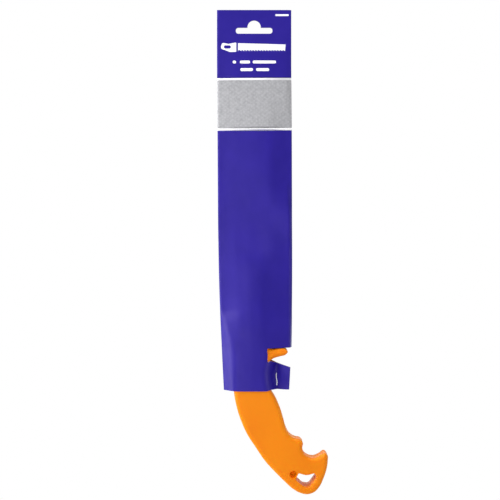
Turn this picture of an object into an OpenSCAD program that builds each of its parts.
// Pull saw for plastic pipe, hanging in its printed card sleeve.
// The origin is where a display peg bears in the hang slot: +Z up, +X towards the teeth, -Y the front.

/* [Card sleeve] */
// Width of the sleeve laid flat
card_w = 63.4; // [63:0.1:63.8]
// Thickness of the card
card_t = 0.6; // [0.5:0.05:0.6]
// Height of the card above the point where the peg bears
header_top = 9; // [6:0.5:14]
// Height of the bottom edge of the sleeve
mouth_z = -314.8; // [-316:0.1:-313]
// Width of the hang slot
slot_w = 30.8; // [28:0.1:34]
// Height of the long part of the hang slot
slot_h = 5; // [4.4:0.1:6]
// Radius of the arch over the hang slot
arch_r = 5.6; // [4:0.1:6]
// Height of the upper edge of the side notch
notch_z = -278.3; // [-278.5:0.05:-278.2]

/* [Blade] */
// Thickness of the blade
blade_t = 0.9; // [0.6:0.05:1]
// Height of the tip of the blade
blade_tip_z = -38; // [-44:0.5:-38]
// Distance from one tooth to the next
tooth_pitch = 2.8; // [2.4:0.1:4]
// Depth of a tooth
tooth_depth = 1.8; // [1:0.1:2]
// Radius of the shank of a blade screw
bolt_r = 2.5; // [2:0.1:2.6]

/* [Handle] */
// Half of the thickness of the grip
grip_half = 9; // [8:0.1:9]
// Half of the thickness of the handle at its top end
neck_half = 5.5; // [5:0.1:6]
// Thickness of the moulded walls
wall = 2.6; // [2:0.1:3]
// Radius of the shank of a handle screw
screw_r = 1.6; // [1.2:0.1:1.8]
// Radius of the blind recess beside the lanyard opening
recess_r = 3.1; // [2.5:0.1:3.3]
// Depth of the blind recess
recess_depth = 7.2; // [3:0.1:7.5]

/* [Hidden] */
$fn = 48;

card_blue = [0.22, 0.18, 0.62];
grip_orange = [0.97, 0.55, 0.08];
steel_grey = [0.72, 0.74, 0.76];
zinc_grey = [0.62, 0.63, 0.66];

// Sizes that follow from the ones above
half_w = card_w / 2;
flat_z = -16;
slot_corner = 2.1;
leaf_x = 7;
lap_w = 12;
glue_gap = 0.2;
fit = 0.1;
bolt_head_r = 4.5;
bolt_head_h = 2.6;
bolt_seat = 3.2;
nut_flat = 8;
nut_h = 3.4;
screw_head_r = 3.1;
screw_head_h = 2.2;
screw_seat = 4;

// Sleeve sections down the card, each [height, [x, depth] points from the left fold to the right fold]
sections = [
    [flat_z, [[-half_w, 0.6], [-30.5, 0.6], [-25, 0.6], [-15, 0.6], [-4, 0.6], [6, 0.6],
        [14, 0.6], [26, 0.6], [half_w, 0.6]]],
    [-36, [[-half_w, 0.6], [-30.5, 0.7], [-25, 0.9], [-15, 1.3], [-4, 1.6], [6, 1.7],
        [14, 1.65], [26, 1.15], [half_w, 0.6]]],
    [-60, [[-half_w + 0.2, 0.6], [-30.4, 1.2], [-25, 1.3], [-15, 1.6], [-4, 2], [6, 2.2],
        [14, 2.2], [28.5, 1.8], [half_w, 0.6]]],
    [-100, [[-half_w + 0.5, 0.6], [-30.2, 1.4], [-25, 1.5], [-15, 1.8], [-4, 2.5], [6, 3],
        [13, 3], [27, 1.8], [half_w + 0.1, 0.6]]],
    [-133, [[-half_w + 0.7, 0.6], [-30.1, 1.5], [-25, 1.6], [-15, 2], [-5, 2.8], [6, 3.5],
        [14, 3.3], [27, 1.7], [half_w + 0.1, 0.6]]],
    [-170, [[-half_w + 0.9, 0.6], [-29.9, 1.5], [-25, 1.7], [-15, 2.2], [-5, 2.8], [5, 3.2],
        [16, 3.7], [29, 3.1], [half_w + 0.2, 0.6]]],
    [-196, [[-half_w + 1.3, 0.6], [-29.2, 1.2], [-25, 1.9], [-15, 2.9], [-5, 3.1], [5, 3.5],
        [15, 3.9], [29, 3], [half_w + 0.3, 0.6]]],
    [-208, [[-half_w + 1.5, 0.6], [-29, 1.3], [-25, 2.1], [-15, 3.9], [-5, 4.7], [4, 4.8],
        [13, 4.3], [29, 2.7], [half_w + 0.3, 0.6]]],
    [-234, [[-half_w + 2.2, 0.6], [-28, 1.8], [-24, 3], [-14, 5.5], [-4, 6.8], [5, 6.7],
        [12, 5.6], [29.3, 2.6], [half_w + 0.2, 0.6]]],
    [-247, [[-half_w + 2.7, 0.6], [-27, 2.7], [-23, 3.8], [-12, 7.2], [-4, 8.4], [6, 8.2],
        [12, 7.1], [29.5, 3.8], [half_w + 0.2, 0.6]]],
    [-255, [[-half_w + 3, 0.6], [-25.8, 3.9], [-23, 5], [-12, 8.5], [-4, 9.3], [7, 9.1],
        [12, 8.3], [29.6, 4.9], [half_w + 0.2, 0.6]]],
    [-264, [[-half_w + 3.4, 0.6], [-23.5, 5.8], [-21, 7], [-12, 9.5], [-4, 10.1], [7, 9.9],
        [12, 9.2], [29.7, 6], [half_w + 0.1, 0.6]]],
    [-276, [[-half_w + 4, 0.6], [-20.6, 7.8], [-17.4, 9.5], [-11, 10.1], [-3, 10.4], [7, 10.2],
        [12, 9.6], [29.7, 6.4], [half_w - 0.1, 0.6]]],
    [-283, [[-half_w + 4.3, 0.6], [-20, 7.9], [-16.4, 9.9], [-10, 10.3], [-2, 10.5], [7, 10.2],
        [11.6, 9.9], [29, 6.4], [half_w - 0.2, 0.6]]],
    [mouth_z, [[-half_w + 5.9, 0.6], [-19.4, 7.7], [-15.8, 9.9], [-10, 10.3], [-2, 10.5], [7, 10.2],
        [12, 9.9], [26, 5.5], [half_w - 2, 0.6]]]
];

// Corner stations below the notch, each [height, end of the flat, knee, pinch line, outer edge]
corner_stations = [
    [-277,    11.6, 17.6, 22.6, half_w + 0.1],
    [-287,    11.6, 17.2, 21.2, half_w - 0.6],
    [-293,    10.8, 15.2, 18.6, half_w - 0.9],
    [-301,    10,   14.1, 17.5, half_w - 1.3],
    [-308,    10.6, 14.8, 17.9, half_w - 1.6],
    [mouth_z, 12.3, 16.2, 19.8, half_w - 2]
];

// Outline of the handle, clockwise from the top left as seen from the front
handle_back_edge = [
    [-9.5, -243.5], [-12.5, -255], [-15, -268], [-16.6, -282], [-17.3, -298], [-17, -317],
    [-15.2, -327], [-11.3, -339.7], [-5.4, -352.5], [1.2, -362.6], [9, -374], [18.4, -384.3],
    [25.2, -391]
];
handle_butt = [
    [33, -398], [39, -401.3], [45.5, -402.4], [51.5, -400.2], [55.5, -395.7], [59, -388.3],
    [61.5, -380.4], [62.4, -373.7], [62.2, -369.5], [59.9, -367.4]
];
handle_finger_rests = [
    [56, -369.4], [50.6, -371.6], [45.7, -370.7], [42.1, -367.7], [40.8, -363], [41.3, -359],
    [39.2, -356.1], [34.6, -355], [30.2, -352.2], [27.5, -347.9]
];
handle_grip_edge = [
    [25, -339.7], [22, -330], [17.5, -320], [14.1, -314.3], [12, -305], [11.5, -297], [12.4, -291.4]
];
handle_guard = [
    [15.5, -287.9], [21.3, -285.8], [26.4, -284.3], [28.5, -281.8], [26.2, -279.1], [21.8, -278.8]
];
handle_neck = [
    [13.5, -278.8], [10.2, -275.5], [9.3, -269], [8, -257], [6.5, -246], [3, -241.5], [-3, -240.6]
];
handle_points = concat(
    handle_back_edge, handle_butt, handle_finger_rests, handle_grip_edge, handle_guard, handle_neck
);

// Lanyard opening, each corner as [x, z, radius]
opening_corners = [
    [36.4, -384.1, 1], [43.8, -386, 9], [51.2, -384.1, 1.2], [53.6, -388.4, 2.6],
    [47.2, -397.2, 3.2], [41.2, -395.6, 3.5], [33.7, -389.9, 0.9]
];
recess_at = [33.2, -385.3];

blade_bolts = [[-3, -253], [-3.5, -271]];
screw_top_at = [-6.5, -296];
screw_grip_at = [5, -336];
screw_butt_at = [46, -377];

// Closed curve through points: tangents weighted by the lengths of the neighbouring spans
function wrap(p, i) = p[(i + len(p)) % len(p)];
function tangent(p, i) =
    let (before = wrap(p, i) - wrap(p, i - 1), after = wrap(p, i + 1) - wrap(p, i))
    let (a = norm(before), b = norm(after))
    (before / a * b + after / b * a) / (a + b);
function hermite(p0, p1, m0, m1, t) =
    (2 * t ^ 3 - 3 * t ^ 2 + 1) * p0 + (t ^ 3 - 2 * t ^ 2 + t) * m0
    + (3 * t ^ 2 - 2 * t ^ 3) * p1 + (t ^ 3 - t ^ 2) * m1;
function smooth_loop(p, steps) = [
    for (i = [0 : len(p) - 1], s = [0 : steps - 1])
        let (span = norm(wrap(p, i + 1) - p[i]))
        hermite(p[i], wrap(p, i + 1), tangent(p, i) * span, tangent(p, i + 1) * span, s / steps)
];

// Polygon with each corner [x, y, r] replaced by its fillet arc
function unit(v) = v / norm(v);
function xy(p) = [p.x, p.y];
function corner_arc(a, b, c, r, steps = 5) =
    let (u = unit(a - b), v = unit(c - b))
    let (half = acos(u * v) / 2, reach = r / tan(half))
    let (start = b + u * reach, end = b + v * reach)
    let (centre = b + unit(u + v) * r / sin(half))
    [for (s = [0 : steps]) centre + r * unit(start + (end - start) * s / steps - centre)];
function fillet_loop(c) = [
    for (i = [0 : len(c) - 1]) each corner_arc(xy(wrap(c, i - 1)), xy(c[i]), xy(wrap(c, i + 1)), c[i].z)
];

// Closed solid through rings of equal length; each ring is an outer run and then an inner run back
module ring_loft(rings) {
    n = len(rings[0]);
    last = len(rings) - 1;
    top = last * n;
    runs = n / 2;
    sides = [
        for (k = [0 : last - 1], i = [0 : n - 1])
            let (j = (i + 1) % n)
            each [[k * n + i, k * n + j, (k + 1) * n + j], [k * n + i, (k + 1) * n + j, (k + 1) * n + i]]
    ];
    caps = [
        for (i = [0 : runs - 2])
            let (j = n - 1 - i)
            each [
                [i, j, j - 1], [i, j - 1, i + 1],
                [top + i, top + i + 1, top + j - 1], [top + i, top + j - 1, top + j]
            ]
    ];
    polyhedron(points = [for (r = rings) each r], faces = concat(sides, caps), convexity = 6);
}

// Shapes drawn in the X-Z plane and extruded along Y from y0 to y1
module slab(y0, y1) {
    translate([0, y1, 0]) rotate([90, 0, 0]) linear_extrude(y1 - y0) children();
}

module y_cylinder(at, r, y0, y1, sides = $fn) {
    translate([at.x, y1, at.y]) rotate([90, 0, 0]) cylinder(r = r, h = y1 - y0, $fn = sides);
}

// ---- Card sleeve ----

module hang_slot(y0, y1) {
    arch_z = -arch_r;
    bar_top = arch_z - 0.6;
    slot_z = bar_top - slot_h;
    end_x = slot_w / 2 - slot_corner;
    y_cylinder([0, arch_z], arch_r, y0, y1);
    translate([-end_x, y0, slot_z]) cube([2 * end_x, y1 - y0, slot_h]);
    translate([-slot_w / 2, y0, slot_z + slot_corner])
        cube([slot_w, y1 - y0, slot_h - 2 * slot_corner]);
    for (x = [-end_x, end_x], z = [slot_z + slot_corner, bar_top - slot_corner])
        y_cylinder([x, z], slot_corner, y0, y1);
}

// Point i of a section, moved by a distance in from the outer face
function outward(a, b) = let (along = unit(b - a)) [-along.y, along.x];
function moved_in(p, i, by) =
    let (n = outward(p[i - 1], p[i]), m = outward(p[i], p[i + 1]))
    p[i] - (n + m) * by / (1 + n * m);

function panel_ring(s) = let (p = s[1], last = len(p) - 1) [
    [p[0].x, -card_t, s[0]],
    for (i = [1 : last - 1]) [p[i].x, -p[i].y, s[0]],
    [p[last].x, -card_t, s[0]],
    [p[last].x, 0, s[0]],
    for (i = [last - 1 : -1 : 1]) let (q = moved_in(p, i, card_t)) [q.x, -max(q.y, 0), s[0]],
    [p[0].x, 0, s[0]]
];

function between(a, b, t) = [
    a[0] + (b[0] - a[0]) * t,
    [for (i = [0 : len(a[1]) - 1]) a[1][i] + (b[1][i] - a[1][i]) * t]
];
fine_sections = [
    for (k = [0 : len(sections) - 2], s = [0 : 2]) between(sections[k], sections[k + 1], s / 3),
    sections[len(sections) - 1]
];

module front_panel() {
    difference() {
        translate([-half_w, -card_t, flat_z]) cube([card_w, card_t, header_top - flat_z]);
        hang_slot(-card_t - 1, 1);
    }
    difference() {
        ring_loft([for (s = fine_sections) panel_ring(s)]);
        translate([leaf_x, -20, mouth_z - 10]) cube([60, 40, notch_z - mouth_z + 10]);
    }
}

module sleeve_front() {
    color(card_blue) front_panel();
}

module sleeve_back() {
    color(card_blue) mirror([0, 1, 0]) front_panel();
}

// Lap seam: a strip that comes from the right fold and is glued to the outside of the back panel
function lap_corners(p) =
    let (shoulder = p[7], start = (p[8].x - lap_w - p[6].x) / (shoulder.x - p[6].x))
    [p[6], p[6] + (shoulder - p[6]) * start, shoulder, shoulder + (p[8] - shoulder) * 0.75, p[8]];
function lap_ring(s) = let (p = lap_corners(s[1])) [
    for (i = [1 : 3]) let (q = moved_in(p, i, -glue_gap - card_t)) [q.x, q.y, s[0]],
    for (i = [3 : -1 : 1]) let (q = moved_in(p, i, -glue_gap)) [q.x, q.y, s[0]]
];

module sleeve_glue_flap() {
    color(card_blue) ring_loft([
        for (s = fine_sections) if (s[0] < -35 && s[0] > -277) lap_ring(s)
    ]);
}

function corner_ring(c) = [
    [leaf_x, -10.2, c[0]], [c[1], -10.1, c[0]], [c[2], -5.8, c[0]],
    [c[3], -card_t, c[0]], [c[4], -card_t, c[0]],
    [c[4], 0, c[0]], [c[3] - 0.2, 0, c[0]],
    [c[2] - 0.5, -5.5, c[0]], [c[1] - 0.25, -9.5, c[0]], [leaf_x, -9.6, c[0]]
];

module front_corner() {
    difference() {
        ring_loft([for (c = corner_stations) corner_ring(c)]);
        slab(-20, 20) polygon([
            [0, notch_z], [0, -270], [45, -270], [45, -300], [30.6, -294.8], [14, -290.2],
            [11.4, -291.6], [11.4, notch_z]
        ]);
    }
}

module sleeve_corner_front() {
    color(card_blue) front_corner();
}

module sleeve_corner_back() {
    color(card_blue) mirror([0, 1, 0]) front_corner();
}

module staple() {
    wire_w = 0.6;
    wire_t = 0.5;
    staple_x = 18.9;
    staple_top = -300.4;
    staple_bottom = -310.6;
    clinch = 3.4;
    color(zinc_grey) {
        translate([staple_x, -card_t - wire_t, staple_bottom])
            cube([wire_w, wire_t, staple_top - staple_bottom]);
        for (z = [staple_bottom, staple_top - wire_t])
            translate([staple_x, -card_t - wire_t, z]) cube([wire_w, 2 * (card_t + wire_t), wire_t]);
        for (z = [staple_bottom, staple_top - clinch])
            translate([staple_x, card_t, z]) cube([wire_w, wire_t, clinch]);
    }
}

// ---- Blade ----

teeth_top_z = blade_tip_z - 5;
heel_z = -237;
tooth_count = floor((teeth_top_z - heel_z) / tooth_pitch);

function edge_x(z) = 19 + 3 * (teeth_top_z - z) / (teeth_top_z - heel_z);
function tooth(z) = [
    [edge_x(z) - tooth_depth, z], [edge_x(z), z - tooth_pitch + 0.5],
    [edge_x(z) - tooth_depth, z - tooth_pitch + 0.3]
];

tang_points = [
    [5.5, heel_z], [5.5, -244], [3.8, -252], [3.8, -282], [1.5, -284.5], [-8.5, -284.5], [-10.8, -282],
    [-10.8, -252], [-11, heel_z]
];

module blade_outline() {
    polygon(concat(
        [[-4, blade_tip_z], [17, blade_tip_z]],
        [for (i = [0 : tooth_count - 1]) each tooth(teeth_top_z - i * tooth_pitch)],
        [[20, heel_z]],
        tang_points,
        [[-13, heel_z], [-16, heel_z + 4], [-12.5, blade_tip_z - 12]]
    ));
}

module blade() {
    color(steel_grey) difference() {
        slab(-blade_t / 2, blade_t / 2) blade_outline();
        for (at = blade_bolts) y_cylinder(at, bolt_r + fit, -5, 5);
    }
}

module blade_screw(at) {
    color(zinc_grey) difference() {
        union() {
            y_cylinder(at, bolt_r, -bolt_seat - nut_h + 0.2, bolt_seat + 0.5);
            y_cylinder(at, bolt_head_r, bolt_seat, bolt_seat + bolt_head_h);
        }
        y_cylinder(at, 2, bolt_seat + 0.8, bolt_seat + bolt_head_h + 1, 6);
    }
}

module blade_nut(at) {
    color(zinc_grey) difference() {
        y_cylinder(at, nut_flat / sqrt(3), -bolt_seat - nut_h, -bolt_seat, 6);
        y_cylinder(at, bolt_r + 0.02, -20, 0);
    }
}

// ---- Handle ----

module handle_outline() {
    polygon(smooth_loop(handle_points, 3));
}

module lanyard_outline() {
    polygon(fillet_loop(opening_corners));
}

// The outline in three layers, drawn in towards the face to round the edge
module handle_blank() {
    slab(-5.5, 0) handle_outline();
    slab(-7.5, -5.5) offset(r = -0.8) handle_outline();
    slab(-grip_half, -7.5) offset(r = -2.2) handle_outline();
}

// Everything in front of the face that tapers from the grip up to the neck
module neck_relief() {
    translate([-40, 0, 0]) rotate([90, 0, 90]) linear_extrude(90) polygon([
        [-neck_half, -240], [-grip_half, -282], [-20, -282], [-20, -230], [-neck_half, -230]
    ]);
}

module half_cavity() {
    slab(wall - grip_half, 1) difference() {
        offset(r = -wall) handle_outline();
        offset(r = wall) lanyard_outline();
        translate([-40, -288]) square([80, 60]);
        translate([11, -296]) square([20, 20]);
        for (at = [screw_top_at, screw_grip_at, screw_butt_at]) translate(at) circle(r = 5.2);
        translate(recess_at) circle(r = recess_r + wall);
        for (z = [-312, -348, -360]) translate([-30, z]) square([80, 1.6]);
    }
}

module half_shell() {
    difference() {
        handle_blank();
        neck_relief();
        half_cavity();
        slab(-20, 1) lanyard_outline();
        slab(-blade_t / 2 - 0.05, 1) offset(delta = fit) polygon(tang_points);
        for (at = blade_bolts) y_cylinder(at, bolt_r + fit, -20, 1);
    }
}

module handle_front() {
    color(grip_orange) difference() {
        half_shell();
        for (at = blade_bolts) y_cylinder(at, nut_flat / sqrt(3) + fit, -20, -bolt_seat, 6);
        for (at = [screw_top_at, screw_grip_at, screw_butt_at]) y_cylinder(at, screw_r + 0.03, -6.4, 1);
        y_cylinder(recess_at, recess_r, -20, recess_depth - grip_half);
    }
}

module handle_back() {
    color(grip_orange) difference() {
        mirror([0, 1, 0]) half_shell();
        for (at = blade_bolts) y_cylinder(at, bolt_head_r + 0.3, bolt_seat, 20);
        for (at = [screw_top_at, screw_grip_at, screw_butt_at]) {
            y_cylinder(at, screw_r + fit, -1, 20);
            y_cylinder(at, screw_head_r + 0.3, screw_seat, 20);
        }
    }
}

module handle_screw(at) {
    color(zinc_grey) difference() {
        union() {
            y_cylinder(at, screw_r, -6, screw_seat + 0.5);
            y_cylinder(at, screw_head_r, screw_seat, screw_seat + screw_head_h);
        }
        translate([at.x - 2, screw_seat + 1.1, at.y - 0.4]) cube([4, 5, 0.8]);
        translate([at.x - 0.4, screw_seat + 1.1, at.y - 2]) cube([0.8, 5, 4]);
    }
}

module blade_screw_upper() { blade_screw(blade_bolts[0]); }
module blade_screw_lower() { blade_screw(blade_bolts[1]); }
module blade_nut_upper() { blade_nut(blade_bolts[0]); }
module blade_nut_lower() { blade_nut(blade_bolts[1]); }
module handle_screw_top() { handle_screw(screw_top_at); }
module handle_screw_grip() { handle_screw(screw_grip_at); }
module handle_screw_butt() { handle_screw(screw_butt_at); }

sleeve_front();
sleeve_back();
sleeve_glue_flap();
sleeve_corner_front();
sleeve_corner_back();
staple();
blade();
handle_front();
handle_back();
blade_screw_upper();
blade_screw_lower();
blade_nut_upper();
blade_nut_lower();
handle_screw_top();
handle_screw_grip();
handle_screw_butt();
